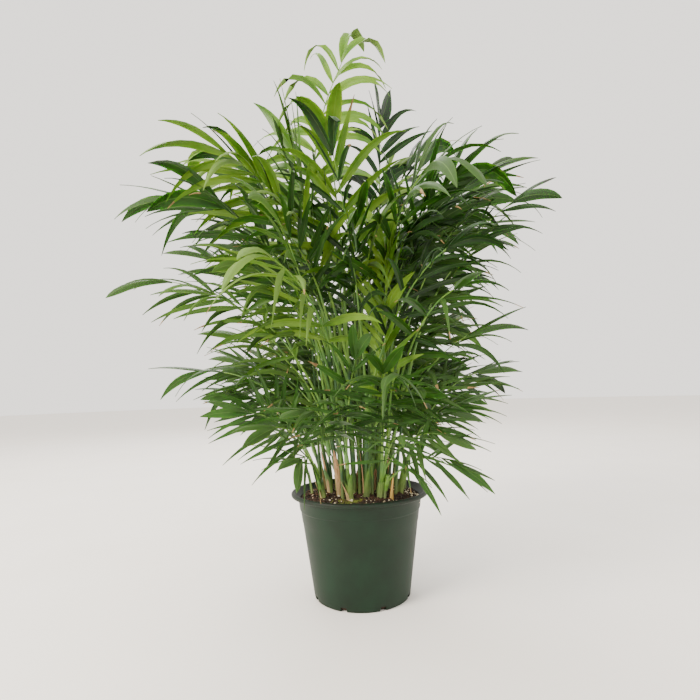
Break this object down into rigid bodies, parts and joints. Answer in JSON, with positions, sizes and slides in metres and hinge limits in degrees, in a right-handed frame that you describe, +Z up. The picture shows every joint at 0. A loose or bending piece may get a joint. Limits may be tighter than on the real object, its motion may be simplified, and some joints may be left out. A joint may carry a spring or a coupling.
{
  "type": "potted parlour palm",
  "caption": "Bushy indoor palm: thin green stems with arching feather-shaped fronds, growing from potting mix in a tapered dark green plastic nursery pot with a rolled rim.",
  "frame": {"origin": "middle of the pot's flat underside, where it stands", "axes": "+Z up along the pot's axis, +X to the right and -Y towards the viewer, as the plant is seen in the picture"},
  "size_m": [0.5398, 0.5494, 0.7234],
  "materials": {
    "pot_plastic": "satin",
    "potting_mix": "matte",
    "stem_skin": "satin",
    "leaf_young": "satin",
    "leaf_mature": "satin",
    "leaf_deep": "satin"
  },
  "bodies": {
    "root": {"pot": "pot_plastic", "potting_mix": "potting_mix", "stem_01": "stem_skin", "stem_02": "stem_skin", "stem_03": "stem_skin", "stem_04": "stem_skin", "stem_05": "stem_skin", "stem_06": "stem_skin", "stem_07": "stem_skin", "stem_08": "stem_skin", "stem_09": "stem_skin", "stem_10": "stem_skin", "stem_11": "stem_skin", "stem_12": "stem_skin", "stem_13": "stem_skin", "stem_14": "stem_skin", "stem_15": "stem_skin", "stem_16": "stem_skin", "stem_17": "stem_skin", "stem_18": "stem_skin", "stem_19": "stem_skin", "stem_20": "stem_skin", "stem_21": "stem_skin", "stem_22": "stem_skin", "stem_23": "stem_skin", "stem_24": "stem_skin", "fronds_01": "leaf_mature", "fronds_02": "leaf_mature", "fronds_03": "leaf_mature", "fronds_04": "leaf_mature", "fronds_05": "leaf_young", "fronds_06": "leaf_mature", "fronds_07": "leaf_young", "fronds_08": "leaf_mature", "fronds_09": "leaf_mature", "fronds_10": "leaf_mature", "fronds_11": "leaf_mature", "fronds_12": "leaf_young", "fronds_13": "leaf_mature", "fronds_14": "leaf_mature", "fronds_15": "leaf_mature", "fronds_16": "leaf_mature", "fronds_17": "leaf_deep", "fronds_18": "leaf_deep", "fronds_19": "leaf_deep", "fronds_20": "leaf_deep", "fronds_21": "leaf_deep", "fronds_22": "leaf_deep", "fronds_23": "leaf_deep", "fronds_24": "leaf_deep", "side_frond_02": "leaf_mature", "side_frond_05": "leaf_young", "side_frond_07": "leaf_young", "side_frond_10": "leaf_mature", "side_frond_12": "leaf_young", "side_frond_14": "leaf_mature", "side_frond_16": "leaf_mature", "side_frond_18": "leaf_deep", "side_frond_21": "leaf_deep", "side_frond_23": "leaf_deep"}
  },
  "joints": []
}
